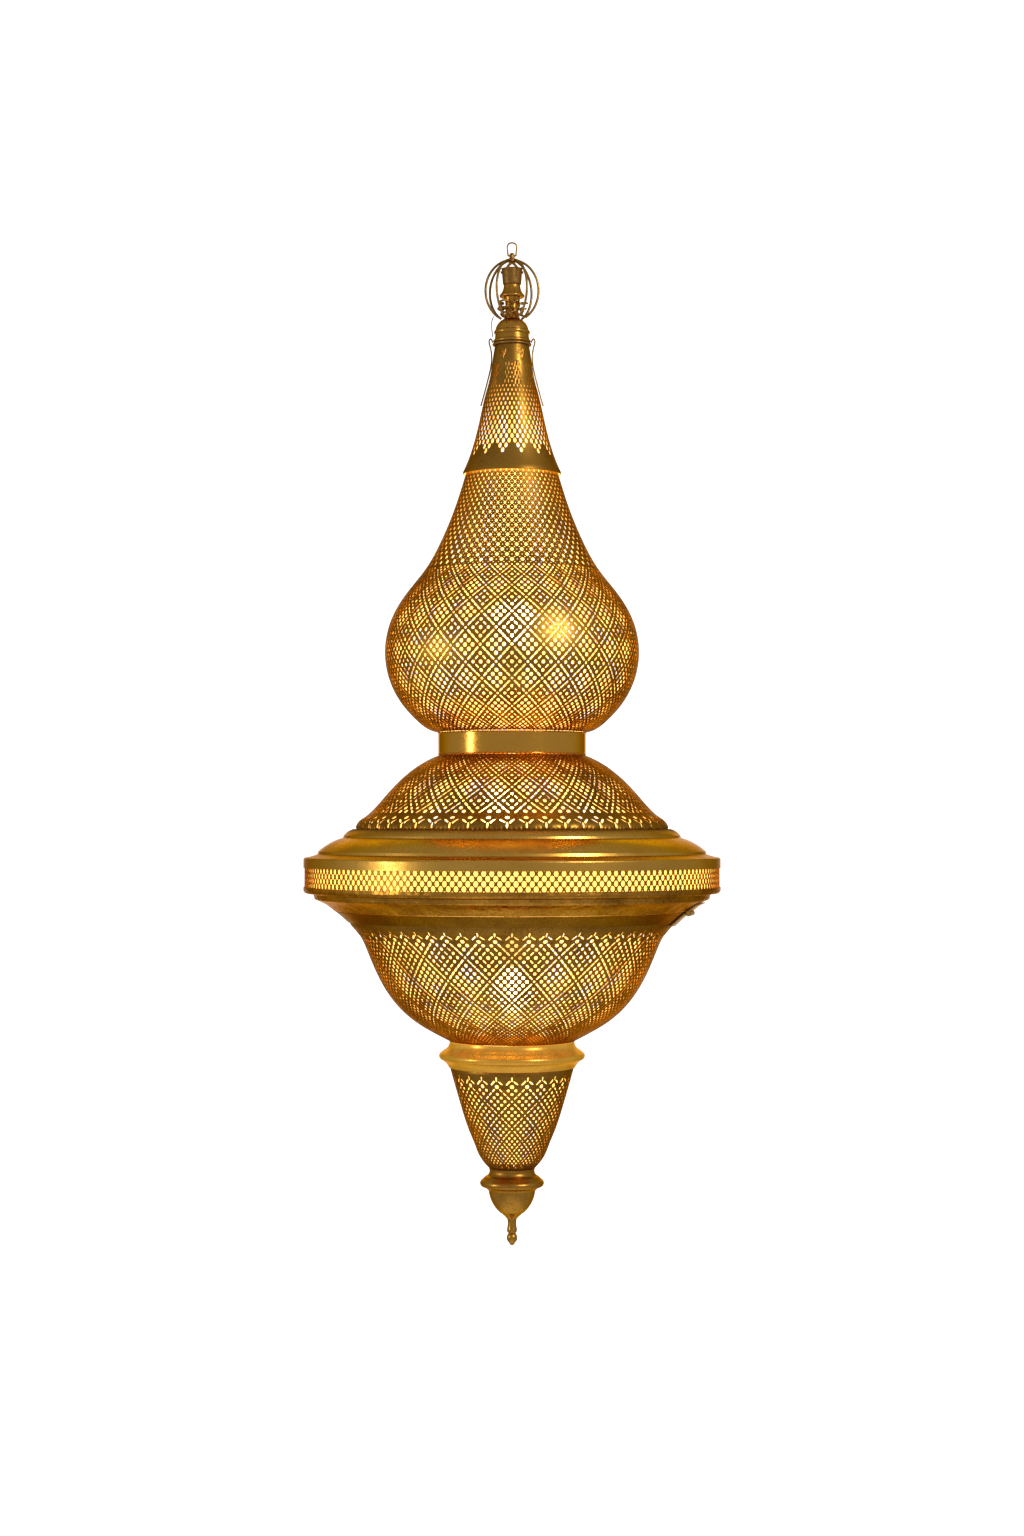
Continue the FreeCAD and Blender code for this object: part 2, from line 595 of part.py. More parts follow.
def bracket(name, collar_z):
    """An arm from a collar on the rod to a plate under a lamp holder, in the lamp's direction."""
    lamp = LAMPS[name]
    reach = math.hypot(lamp["x"], lamp["y"])
    top = lamp["mouth_z"] - HOLDER_HEIGHT - 0.05
    foot, height = top - 2.0, 10.0
    collar = washer(9.0, ROD_RADIUS + 0.05, collar_z, height)
    arm = Part.makeBox(reach - 8.0, 8.0, 2.0, V(8.0, -4.0, foot))
    post = Part.makeBox(3.0, 8.0, collar_z + height - foot, V(7.6, -4.0, foot))
    shape = collar.fuse([arm, post, rod(10.0, (reach, 0, foot), (reach, 0, top))])
    shape = shape.cut(rod(1.52, (-12, 0, collar_z + 5.0), (0, 0, collar_z + 5.0))).removeSplitter()
    shape.rotate(V(), UP, lamp_turn(name))
    return shape


COLLARS = {"upper": -476.0, "middle": -683.0}


def collar_screws():
    """The screw that locks each bracket's collar on the rod."""
    screws = []
    for name, z in COLLARS.items():
        head = rod(2.8, (-9.3, 0, z + 5.0), (-11.3, 0, z + 5.0))
        screw = rod(1.5, (-5.1, 0, z + 5.0), (-9.5, 0, z + 5.0)).fuse(head)
        slot = Part.makeBox(0.8, 6.0, 0.7, V(-11.4, -3.0, z + 4.65))
        screw = screw.cut(slot).removeSplitter()
        screw.rotate(V(), UP, lamp_turn(name))
        screws.append(screw)
    return group(screws)


def holder_coupler():
    """The sleeve that joins the lowest lamp holder to the foot of the rod."""
    top = ROD_FOOT_Z + 8.0
    foot = LAMPS["lower"]["mouth_z"] + HOLDER_HEIGHT
    r = ROD_RADIUS + 0.05
    return turned((r, top), (9.0, top), (9.0, foot + 4.0), (11.0, foot + 0.1), (0, foot + 0.1),
                  (0, ROD_FOOT_Z - 0.1), (r, ROD_FOOT_Z - 0.1))


def terminal_block():
    """The block on the drum's spider where the supply meets the leads, clear of the nuts."""
    block = Part.makeBox(30.0, 16.0, 14.0, V(-15.0, 16.6, DRUM_SPIDER_Z + 2.6))
    for x in (-9.0, 0.0, 9.0):
        block = block.cut(rod(2.0, (x, 16.0, DRUM_SPIDER_Z + 8.0), (x, 33.0, DRUM_SPIDER_Z + 8.0)))
        block = block.cut(rod(1.8, (x, 24.6, DRUM_SPIDER_Z + 9.0), (x, 24.6, DRUM_SPIDER_Z + 20.0)))
    return block


def lead(name):
    """A lead from the rod's window, beside the bracket's arm, to the foot of the lamp holder."""
    lamp = LAMPS[name]
    reach = math.hypot(lamp["x"], lamp["y"])
    foot = lamp["mouth_z"] - HOLDER_HEIGHT - 2.1
    low = foot - 6.0
    points = [(0, 0.6, WINDOWS[name]), (0, 9.0, WINDOWS[name]), (reach * 0.6, 9.0, low), (reach, 0, low),
              (reach, 0, foot)]
    wire = wire_along(rounded_path(points, [0, 3.0, 5.0, 2.6, 0]), 1.2)
    wire.rotate(V(), UP, lamp_turn(name))
    return wire


# Hinge and catch of the bowl ---------------------------------------------------------------------
def knuckles(which):
    """Every second knuckle of the hinge, on the pin's axis along Y, before it is turned into place."""
    each = HINGE_LENGTH / HINGE_KNUCKLES
    gap = 0.15
    tubes = []
    for k in range(which, HINGE_KNUCKLES, 2):
        start = -HINGE_LENGTH / 2 + k * each + gap
        end = start + each - 2 * gap
        tube = rod(HINGE_KNUCKLE, (HINGE_DISTANCE, start, HINGE_PIN_Z), (HINGE_DISTANCE, end, HINGE_PIN_Z))
        tubes.append((tube, start, end))
    return tubes


def hinge_leaf(which, outline):
    """A leaf bent to lie on the brass, whose tongues run into its knuckles. The outline is in XZ."""
    points = [V(x, -HINGE_LENGTH / 2, z) for x, z in outline]
    plate = Part.Face(Part.makePolygon(points + points[:1])).extrude(V(0, HINGE_LENGTH, 0))
    room = rod(HINGE_KNUCKLE + 0.35, (HINGE_DISTANCE, -40, HINGE_PIN_Z), (HINGE_DISTANCE, 40, HINGE_PIN_Z))
    leaf = plate.cut(room)
    for tube, start, end in knuckles(which):
        around = Part.makeBox(60, end - start, 60, V(HINGE_DISTANCE - 30, start, HINGE_PIN_Z - 30))
        tongue = plate.common(around)
        leaf = leaf.fuse([tube, tongue])
    bore = rod(HINGE_PIN + 0.06, (HINGE_DISTANCE, -40, HINGE_PIN_Z), (HINGE_DISTANCE, 40, HINGE_PIN_Z))
    return turn_to_hinge(leaf.cut(bore).removeSplitter())


def hinge_fixed_leaf():
    """Rises from the pin up the slope of the drum."""
    return hinge_leaf(0, [(196.5, -739.9), (197.9, -741.3), (206.4, -734.2), (212.9, -730.9), (212.2, -729.7),
                          (205.6, -733.0)])


def hinge_door_leaf():
    """Runs from the pin down the bowl's cove, close to the brass."""
    return hinge_leaf(1, [(196.7, -741.0), (193.3, -742.2), (188.9, -745.8), (181.7, -752.4), (178.7, -755.2),
                          (179.8, -756.1), (182.7, -753.5), (189.9, -746.9), (194.2, -743.4), (197.4, -742.6)])


def hinge_pin():
    """The hinge pin, with a head at each end."""
    reach = HINGE_LENGTH / 2
    x, z = HINGE_DISTANCE, HINGE_PIN_Z
    pin = rod(HINGE_PIN, (x, -reach - 1.0, z), (x, reach + 1.0, z))
    heads = [rod(2.2, (x, s * (reach + 0.3), z), (x, s * (reach + 1.6), z)) for s in (-1, 1)]
    return turn_to_hinge(pin.fuse(heads).removeSplitter())


def catch_spring():
    """A springy tongue inside the bowl's rim, opposite the hinge, that grips the drum's seat."""
    outline = [(185.0, -745.0), (185.8, -745.0), (185.8, -738.8), (189.9, -732.6), (187.6, -727.4),
               (186.9, -727.8), (189.0, -732.6), (185.0, -738.6)]
    points = [V(x, -7.0, z) for x, z in outline]
    tongue = Part.Face(Part.makePolygon(points + points[:1])).extrude(V(0, 14.0, 0))
    tongue.rotate(V(), UP, HINGE_TURN + 180.0)
    return tongue


# The file list -----------------------------------------------------------------------------------
def parts():
    made = {
        "hanging_loop": hanging_loop(), "crown_knot": crown_knot(), "hanger_strap": hanger_strap(),
        "strap_rivets": strap_rivets(), "finial_cup": finial_cup(), "finial_vase": finial_vase(),
        "neck_sleeve": neck_sleeve(), "binding_wire": binding_wire(), "dome_cap": dome_cap(),
        "cap_bead": cap_bead(), "tie_ring": tie_ring(), "tie_wires": tie_wires(), "cone_cap": cone_cap(),
        "onion_shell": onion_shell(), "neck_band": neck_band(), "neck_spider": neck_spider(),
        "shoulder_dome": shoulder_dome(), "upper_flange": upper_flange(), "lattice_band": lattice_band(),
        "band_liner": band_liner(), "lower_flange": lower_flange(), "drum_spider": drum_spider(),
        "main_rod": main_rod(), "rod_nuts": rod_nuts(), "rod_washers": rod_washers(),
        "cord_bush": cord_bush(), "bowl_rim": bowl_rim(), "bowl_shell": bowl_shell(),
        "bowl_ring": bowl_ring(), "tail_spider": tail_spider(), "tail_rod": tail_rod(),
        "tail_nuts": tail_nuts(), "tail_cone": tail_cone(), "tail_ring": tail_ring(),
        "acorn_cup": acorn_cup(), "finial_drop": finial_drop(), "holder_coupler": holder_coupler(),
        "terminal_block": terminal_block(), "hinge_fixed_leaf": hinge_fixed_leaf(),
        "hinge_door_leaf": hinge_door_leaf(), "hinge_pin": hinge_pin(),
        "catch_spring": catch_spring(), "collar_screws": collar_screws(),
    }
    for name, turns in HOOP_TURNS.items():
        made[name] = crown_hoop(turns)
    for name, lamp in LAMPS.items():
        holder, base, globe = lamp_parts(**lamp)
        made["lampholder_" + name] = holder
        made["bulb_base_" + name] = base
        made["bulb_glass_" + name] = globe
    for name, collar_z in COLLARS.items():
        made["bracket_" + name] = bracket(name, collar_z)
        made["lead_" + name] = lead(name)
    return made


os.makedirs("parts", exist_ok=True)
for node, shape in sorted(parts().items()):
    if not shape.isValid() or not shape.Solids:
        raise SystemExit(f"{node} is not a valid solid")
    shape.exportStep(f"parts/{node}.step")
    print(f"{node}: {len(shape.Solids)} solid(s), {sum(s.Volume for s in shape.Solids):.0f} mm3")
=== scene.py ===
import math

import bpy
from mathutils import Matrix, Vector


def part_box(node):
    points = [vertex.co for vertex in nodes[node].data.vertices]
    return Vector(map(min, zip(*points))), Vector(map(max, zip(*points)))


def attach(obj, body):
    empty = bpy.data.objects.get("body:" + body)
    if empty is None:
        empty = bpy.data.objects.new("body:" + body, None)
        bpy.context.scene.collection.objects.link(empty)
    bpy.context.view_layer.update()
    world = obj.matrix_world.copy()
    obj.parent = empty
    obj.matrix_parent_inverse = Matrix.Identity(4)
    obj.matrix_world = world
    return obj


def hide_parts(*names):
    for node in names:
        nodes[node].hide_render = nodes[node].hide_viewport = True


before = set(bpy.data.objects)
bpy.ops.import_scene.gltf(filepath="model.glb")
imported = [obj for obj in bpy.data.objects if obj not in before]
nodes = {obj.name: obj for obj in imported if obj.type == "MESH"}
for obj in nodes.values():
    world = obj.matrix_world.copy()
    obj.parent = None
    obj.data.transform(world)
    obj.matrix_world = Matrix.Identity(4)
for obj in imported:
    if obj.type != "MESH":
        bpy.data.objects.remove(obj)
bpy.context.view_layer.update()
scene = bpy.context.scene
print("frame loaded:", len(nodes), "nodes")


# small helpers for node trees

def put(tree, kind, wires=None, **settings):
    node = tree.nodes.new(kind)
    for name, value in settings.items():
        setattr(node, name, value)
    for socket, source in (wires or {}).items():
        if isinstance(source, bpy.types.NodeSocket):
            tree.links.new(source, node.inputs[socket])
        else:
            node.inputs[socket].default_value = source
    return node


def calc(tree, operation, *values):
    return put(tree, "ShaderNodeMath", dict(enumerate(values)), operation=operation).outputs[0]


def calcVector(tree, operation, *values, scale=None):
    node = put(tree, "ShaderNodeVectorMath", dict(enumerate(values)), operation=operation)
    if scale is not None:
        if isinstance(scale, bpy.types.NodeSocket):
            tree.links.new(scale, node.inputs["Scale"])
        else:
            node.inputs["Scale"].default_value = scale
    return node.outputs["Value"] if operation in ("LENGTH", "DOT_PRODUCT", "DISTANCE") else node.outputs[0]


def addSockets(tree, inputs, outputs):
    for side, sockets in (("INPUT", inputs), ("OUTPUT", outputs)):
        for name, kind, *value in sockets:
            socket = tree.interface.new_socket(name=name, in_out=side, socket_type=kind)
            if value:
                socket.default_value = value[0]
    given = tree.nodes.new("NodeGroupInput")
    result = tree.nodes.new("NodeGroupOutput")
    return given.outputs, result.inputs


def setInputs(modifier, tree, values):
    for item in tree.interface.items_tree:
        if item.item_type == "SOCKET" and item.in_out == "INPUT" and item.name in values:
            modifier[item.identifier] = values[item.name]


# the pierced sheets

def makePiercedTree():
    # each point is one cell of a diamond lattice: x counts columns round, y counts rows up
    tree = bpy.data.node_groups.new("piercedSheet", "GeometryNodeTree")
    given, result = addSockets(tree, [
        ("Geometry", "NodeSocketGeometry"),
        ("Profile", "NodeSocketObject"),
        ("Columns", "NodeSocketFloat", 100.0),
        ("Height", "NodeSocketFloat", 20.0),
        ("Sheet", "NodeSocketFloat", 0.0009),
        ("Outside", "NodeSocketMaterial"),
        ("Inside", "NodeSocketMaterial"),
    ], [("Geometry", "NodeSocketGeometry")])

    # one cell: an eight-sided ring whose outer edge is the diamond
    circle = put(tree, "GeometryNodeMeshCircle", {"Vertices": 8, "Radius": 1.0}).outputs["Mesh"]
    position = put(tree, "GeometryNodeInputPosition").outputs[0]
    parts = put(tree, "ShaderNodeSeparateXYZ", {0: position}).outputs
    reach = calc(tree, "ADD", calc(tree, "ABSOLUTE", parts[0]), calc(tree, "ABSOLUTE", parts[1]))
    diamond = calcVector(tree, "SCALE", position, scale=calc(tree, "DIVIDE", 0.5, reach))
    outline = put(tree, "GeometryNodeSetPosition", {"Geometry": circle, "Position": diamond}).outputs[0]
    inward = calcVector(tree, "SCALE", position, scale=-0.5)
    ring = put(tree, "GeometryNodeExtrudeMesh", {"Mesh": outline, "Offset": inward, "Offset Scale": 1.0},
               mode="EDGES")
    marked = put(tree, "GeometryNodeStoreNamedAttribute",
                 {"Geometry": ring.outputs["Mesh"], "Name": "isHole", "Value": ring.outputs["Top"]},
                 data_type="BOOLEAN", domain="POINT").outputs[0]
    facing = put(tree, "GeometryNodeFlipFaces", {"Mesh": marked}).outputs[0]
    cell = put(tree, "GeometryNodeStoreNamedAttribute",
               {"Geometry": facing, "Name": "local", "Value": position},
               data_type="FLOAT_VECTOR", domain="POINT").outputs[0]

    cells = put(tree, "GeometryNodeInstanceOnPoints", {"Points": given["Geometry"], "Instance": cell})
    sheet = put(tree, "GeometryNodeRealizeInstances", {"Geometry": cells.outputs[0]}).outputs[0]

    def named(name, kind):
        node = put(tree, "GeometryNodeInputNamedAttribute", {"Name": name}, data_type=kind)
        return node.outputs["Attribute"]

    # the hole's corners, from how long, how wide, how square and how turned the cell says it is
    local = named("local", "FLOAT_VECTOR")
    centre = calcVector(tree, "SUBTRACT", position, local)
    toward = calcVector(tree, "NORMALIZE", local)
    sides = put(tree, "ShaderNodeSeparateXYZ", {0: toward}).outputs
    slant = calc(tree, "MULTIPLY", calc(tree, "ABSOLUTE", calc(tree, "MULTIPLY", sides[0], sides[1])), 2.0)
    square = calc(tree, "ADD", 1.0, calc(tree, "MULTIPLY", slant, named("square", "FLOAT")))
    corner = put(tree, "ShaderNodeCombineXYZ", {
        0: calc(tree, "MULTIPLY", calc(tree, "MULTIPLY", sides[0], named("long", "FLOAT")), square),
        1: calc(tree, "MULTIPLY", calc(tree, "MULTIPLY", sides[1], named("wide", "FLOAT")), square)}).outputs[0]
    turned = put(tree, "ShaderNodeVectorRotate", {"Vector": corner, "Angle": named("turn", "FLOAT")},
                 rotation_type="Z_AXIS").outputs[0]
    holed = put(tree, "GeometryNodeSetPosition",
                {"Geometry": sheet, "Selection": named("isHole", "BOOLEAN"),
                 "Position": calcVector(tree, "ADD", centre, turned)}).outputs[0]

    # wrap the flat lattice round the profile
    flat = put(tree, "ShaderNodeSeparateXYZ", {0: position}).outputs
    up = calc(tree, "MINIMUM", calc(tree, "MAXIMUM", flat[1], 0.0), given["Height"])
    profile = put(tree, "GeometryNodeObjectInfo", {"Object": given["Profile"]}).outputs["Geometry"]
    size = put(tree, "GeometryNodeAttributeDomainSize", {"Geometry": profile}, component="CURVE")
    last = size.outputs["Point Count"]
    steps = calc(tree, "MULTIPLY", calc(tree, "DIVIDE", up, given["Height"]), calc(tree, "SUBTRACT", last, 1.0))
    whole = calc(tree, "FLOOR", steps)
    near, far = (put(tree, "GeometryNodeSampleIndex", {"Geometry": profile, "Value": position, "Index": index},
                     data_type="FLOAT_VECTOR", domain="POINT", clamp=True).outputs[0]
                 for index in (whole, calc(tree, "ADD", whole, 1.0)))
    way = calcVector(tree, "SCALE", calcVector(tree, "SUBTRACT", far, near),
                     scale=calc(tree, "SUBTRACT", steps, whole))
    where = put(tree, "ShaderNodeSeparateXYZ", {0: calcVector(tree, "ADD", near, way)}).outputs
    angle = calc(tree, "DIVIDE", calc(tree, "MULTIPLY", flat[0], math.tau), given["Columns"])
    wrapped = put(tree, "ShaderNodeCombineXYZ", {
        0: calc(tree, "MULTIPLY", where[0], calc(tree, "COSINE", angle)),
        1: calc(tree, "MULTIPLY", where[0], calc(tree, "SINE", angle)),
        2: where[2]}).outputs[0]
    spun = put(tree, "GeometryNodeSetPosition", {"Geometry": holed, "Position": wrapped}).outputs[0]
    welded = put(tree, "GeometryNodeMergeByDistance", {"Geometry": spun, "Distance": 0.00002}).outputs[0]
    area = put(tree, "GeometryNodeInputMeshFaceArea").outputs[0]
    clean = put(tree, "GeometryNodeDeleteGeometry",
                {"Geometry": welded, "Selection": calc(tree, "LESS_THAN", area, 1e-9)}, domain="FACE").outputs[0]

    # thickness: the outer face, the walls of the holes and, flipped, the inner face
    thick = put(tree, "GeometryNodeExtrudeMesh", {"Mesh": clean, "Offset Scale": given["Sheet"],
                                                  "Individual": False}, mode="FACES")
    outside = put(tree, "GeometryNodeSetMaterial",
                  {"Geometry": thick.outputs["Mesh"], "Material": given["Outside"]}).outputs[0]
    inside = put(tree, "GeometryNodeSetMaterial",
                 {"Geometry": put(tree, "GeometryNodeFlipFaces", {"Mesh": clean}).outputs[0],
                  "Material": given["Inside"]}).outputs[0]
    joined = put(tree, "GeometryNodeJoinGeometry")
    tree.links.new(inside, joined.inputs[0])
    tree.links.new(outside, joined.inputs[0])
    closed = put(tree, "GeometryNodeMergeByDistance",
                 {"Geometry": joined.outputs[0], "Distance": 0.000002}).outputs[0]
    smooth = put(tree, "GeometryNodeSetShadeSmooth", {"Geometry": closed}, domain="FACE").outputs[0]
    fold = put(tree, "GeometryNodeInputMeshEdgeAngle").outputs["Unsigned Angle"]
    creased = put(tree, "GeometryNodeSetShadeSmooth",
                  {"Geometry": smooth, "Selection": calc(tree, "GREATER_THAN", fold, 0.6), "Shade Smooth": False},
                  domain="EDGE").outputs[0]
    tree.links.new(creased, result["Geometry"])
    return tree


def outerProfile(node, sheet, lap):
    # the node's outside, bottom to top, as (radius, height), moved in by the sheet's thickness
    mesh = nodes[node].data
    middle = sum((v.co for v in mesh.vertices), Vector()) / len(mesh.vertices)
    found = {}
    for polygon in mesh.polygons:
        side = polygon.normal.dot(polygon.center - Vector((0, 0, middle.z)))
        if side > 0:
            for index in polygon.vertices:
                p = mesh.vertices[index].co
                found.setdefault(round(p.z, 6), []).append(math.hypot(p.x, p.y))
    full = [(max(rs), z) for z, rs in sorted(found.items())]
    # points closer together than this could change places when they are moved in
    apart = 0.0015
    line = full[:1]
    for point in full[1:-1]:
        if min(math.dist(point, line[-1]), math.dist(point, full[-1])) > apart:
            line.append(point)
    line.append(full[-1])
    moved = []
    for k, (r, z) in enumerate(line):
        before, after = line[max(k - 1, 0)], line[min(k + 1, len(line) - 1)]
        along = Vector((after[0] - before[0], after[1] - before[1])).normalized()
        moved.append((r - along.y * sheet, z + along.x * sheet))
    # it laps a little way over the seam at each end
    for end, inner in ((0, 1), (-1, -2)):
        (r0, z0), (r1, z1) = moved[end], moved[inner]
        reach = lap / math.hypot(r0 - r1, z0 - z1)
        moved[end] = (r0 + (r0 - r1) * reach, z0 + (z0 - z1) * reach)
    return moved


def paced(line, count, power):
    # the same line in count points, closer together where the radius is small
    lengths = [0.0]
    for (r0, z0), (r1, z1) in zip(line, line[1:]):
        lengths.append(lengths[-1] + math.hypot(r1 - r0, z1 - z0) / ((r0 + r1) / 2) ** power)
    points, k = [], 0
    for i in range(count):
        goal = lengths[-1] * i / (count - 1)
        while k < len(line) - 2 and lengths[k + 1] < goal:
            k += 1
        t = (goal - lengths[k]) / (lengths[k + 1] - lengths[k])
        points.append(tuple(a + (b - a) * t for a, b in zip(line[k], line[k + 1])))
    return points


def makeProfile(name, line):
    curve = bpy.data.curves.new(name, "CURVE")
    curve.dimensions = "3D"
    spline = curve.splines.new("POLY")
    spline.points.add(len(line) - 1)
    for point, (r, z) in zip(spline.points, line):
        point.co = (r, 0, z, 1)
    obj = bpy.data.objects.new(name, curve)
    scene.collection.objects.link(obj)
    return obj


def makeCells(name, columns, rows, holeAt):
    # holeAt(a, b, x, y) gives (long, wide, turn in degrees, square) or None; a and b count the diagonals
    mesh = bpy.data.meshes.new(name)
    places, holes = [], []
    for j in rows:
        for i in range(columns):
            x = i + 0.5 * (j % 2)
            y = j * 0.5
            places.append((x, y, 0))
            holes.append(holeAt(round(y + x), round(y - x), x, y) or (0.0, 0.0, 0.0, 0.0))
    mesh.from_pydata(places, [], [])
    for k, title in enumerate(("long", "wide", "turn", "square")):
        layer = mesh.attributes.new(title, "FLOAT", "POINT")
        values = [math.radians(h[k]) if title == "turn" else h[k] for h in holes]
        layer.data.foreach_set("value", values)
    obj = bpy.data.objects.new(name, mesh)
    scene.collection.objects.link(obj)
    return obj


def bake(obj, name):
    # the evaluated geometry as a plain mesh at the origin; the source object goes
    evaluated = obj.evaluated_get(bpy.context.evaluated_depsgraph_get())
    mesh = bpy.data.meshes.new_from_object(evaluated)
    mesh.name = name
    done = bpy.data.objects.new(name, mesh)
    scene.collection.objects.link(done)
    bpy.data.objects.remove(obj)
    return done


def pierce(piece):
    node, rows = piece["node"], piece["rows"]
    line = paced(outerProfile(node, piece["sheet"], piece["lap"]), rows * 4 + 1, piece["pace"])
    profile = makeProfile(node + "Profile", line)
    made = []
    cuts = piece.get("splitAt", [])
    spans = list(zip([0] + cuts, cuts + [rows + 1]))
    for k, (first, last) in enumerate(spans):
        name = piece["name"] if len(spans) == 1 else piece["name"] + "ABCD"[k]
        cells = makeCells(name + "Cells", piece["columns"], range(first, last), piece["holeAt"])
        modifier = cells.modifiers.new("pierce", "NODES")
        modifier.node_group = piercedTree
        setInputs(modifier, piercedTree, {
            "Profile": profile, "Columns": float(piece["columns"]), "Height": rows / 2, "Sheet": piece["sheet"],
            "Outside": materials["pierced"], "Inside": materials["lit"]})
        done = bake(cells, name)
        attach(done, piece["body"])
        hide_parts(node)
        made.append(done)
        print(name, len(done.data.polygons), "faces")
    bpy.data.objects.remove(profile)
    return made


# which hole each cell has

def alongDiagonal(a, b, every):
    # 1 on a line rising to the right, -1 on one rising to the left, 0 elsewhere, 2 where they cross
    rises, falls = b % every == 0, a % every == 0
    return 2 if rises and falls else 1 if rises else -1 if falls else 0


def dot(size, square=0.05):
    return size, size, 0, square


def slit(turn, length=0.345, width=0.13):
    return length, width, turn, 0.18


def latticeOf(a, b, every, dotSize, ringed):
    # diagonal lines of slits; the fields between them hold dots or, in turn, slits round a dot
    line = alongDiagonal(a, b, every)
    if line:
        return dot(0.17) if line == 2 else slit(45 * line)
    if ringed and (a // every + b // every) % 2:
        inA, inB, centre = a % every, b % every, every // 2
        if inA == centre and inB == centre:
            return dot(0.24)
        if centre in (inA, inB):
            return slit(-45 if inB == centre else 45, 0.29, 0.11)
        return dot(0.22)
    return dot(dotSize)


def shrink(hole, factor):
    return hole and (hole[0] * factor, hole[1] * factor, *hole[2:])


def zigzag(x, step, down):
    # the border of points, one over every second column; step counts half rows from the points' tips
    offset = (x + 1) % 2 - 1
    if step == 0:
        return slit(90, 0.38, 0.10) if offset == 0 else None
    if step == 1:
        side = 1 if offset > 0 else -1
        return slit(45 * side * (1 if down else -1), 0.46, 0.12)
    return dot(0.27) if offset == 0 else None


def onionHole(a, b, x, y):
    if y < 0.6:
        return None
    if y > 26:
        return dot(0.13) if alongDiagonal(a, b, 2) else dot(0.40)
    return latticeOf(a, b, 4, 0.26, True)


def domeHole(a, b, x, y):
    if y < 1.8:
        return zigzag(x + 0.5, round(y * 2) - 1, True) if y > 0.3 else None
    if y < 2.2:
        return None
    return shrink(latticeOf(a, b, 4, 0.265, True), 1 - 0.3 * max(0.0, (y - 6) / 8))


def bowlHole(a, b, x, y):
    down = bowl["rows"] / 2 - y
    if y < 0.6 or down < 0.9:
        return None
    if down < 2.3:
        return zigzag(x, round(down * 2) - 2, False)
    return latticeOf(a, b, 6, 0.255, True)


def tailHole(a, b, x, y):
    down = tail["rows"] / 2 - y
    if down < 0.9 or y < 0.6:
        return None
    if down < 2.3:
        return zigzag(x, round(down * 2) - 2, False)
    if y < 1.6:
        return slit(90, 0.38, 0.13) if (x + y) % 2 == 0 else None
    return shrink(latticeOf(a, b, 4, 0.25, False), 0.82)


def coneHole(a, b, x, y):
    # the hem's points come every third column; above, the dots shrink, then plain panels and sprays of leaves
    offset = abs((x + 1.5) % 3 - 1.5)
    if y < 1.2 or offset > y - 1.2:
        return None
    if y < 9.2:
        return dot(0.29 - 0.03 * max(0.0, y - 4.5), 0.0)
    leaf = (x + 3.5) % 7 - 3.5
    side = 1 if leaf > 0 else -1
    if y < 11.8:
        if abs(leaf) < 1.3:
            return (0.26, 0.16, 90, 0.1) if abs(leaf) < 0.3 and 10.3 < y < 10.8 else None
        return slit(90 + 20 * side, 0.42, 0.12) if abs(leaf) < 2.8 else dot(0.13)
    if 12.3 < y < 13.2 and abs(leaf) < 1.2:
        return slit(90 if abs(leaf) < 0.3 else 90 - 45 * side, 0.36, 0.12)
    return None


def bandHole(a, b, x, y):
    return dot(0.315, 0.0)


# shader groups shared by the materials

def mixColor(tree, factor, a, b, blend="MIX"):
    node = put(tree, "ShaderNodeMix", data_type="RGBA", blend_type=blend)
    for index, value in ((0, factor), (6, a), (7, b)):
        if isinstance(value, bpy.types.NodeSocket):
            tree.links.new(value, node.inputs[index])
        else:
            node.inputs[index].default_value = value
    return node.outputs[2]


def spread(tree, value, low, high, start, end):
    node = put(tree, "ShaderNodeMapRange", {0: value, 1: low, 2: high, 3: start, 4: end})
    return node.outputs[0]


def makePatinaGroup():
    # tarnish that gathers in soft clouds, fine grain and small dents, on object coordinates
    tree = bpy.data.node_groups.new("patina", "ShaderNodeTree")
    given, result = addSockets(tree, [
        ("Vector", "NodeSocketVector"),
        ("Bright", "NodeSocketColor", (0.6, 0.4, 0.15, 1)),
        ("Dark", "NodeSocketColor", (0.3, 0.17, 0.05, 1)),
        ("Tarnish", "NodeSocketFloat", 0.5),
        ("Polish", "NodeSocketFloat", 0.3),
        ("Dents", "NodeSocketFloat", 0.3),
    ], [("Color", "NodeSocketColor"), ("Roughness", "NodeSocketFloat"), ("Height", "NodeSocketFloat")])
    clouds = put(tree, "ShaderNodeTexNoise", {"Vector": given["Vector"], "Scale": 14.0, "Detail": 5.0,
                                              "Roughness": 0.6}).outputs[0]
    grain = put(tree, "ShaderNodeTexNoise", {"Vector": given["Vector"], "Scale": 420.0, "Detail": 3.0}).outputs[0]
    dents = put(tree, "ShaderNodeTexVoronoi", {"Vector": given["Vector"], "Scale": 110.0},
                feature="SMOOTH_F1").outputs[0]
    stain = calc(tree, "MULTIPLY", spread(tree, clouds, 0.35, 0.7, 0.0, 1.0), given["Tarnish"])
    speck = calc(tree, "MULTIPLY", spread(tree, grain, 0.45, 0.75, 0.0, 0.6), given["Tarnish"])
    amount = calc(tree, "MINIMUM", calc(tree, "ADD", stain, speck), 1.0)
    tree.links.new(mixColor(tree, amount, given["Bright"], given["Dark"]), result["Color"])
    rough = calc(tree, "ADD", given["Polish"], calc(tree, "MULTIPLY", amount, 0.25))
    tree.links.new(calc(tree, "ADD", rough, spread(tree, grain, 0.3, 0.7, -0.04, 0.04)), result["Roughness"])
    height = calc(tree, "ADD", calc(tree, "MULTIPLY", dents, given["Dents"]), calc(tree, "MULTIPLY", grain, 0.12))
    tree.links.new(height, result["Height"])
    return tree


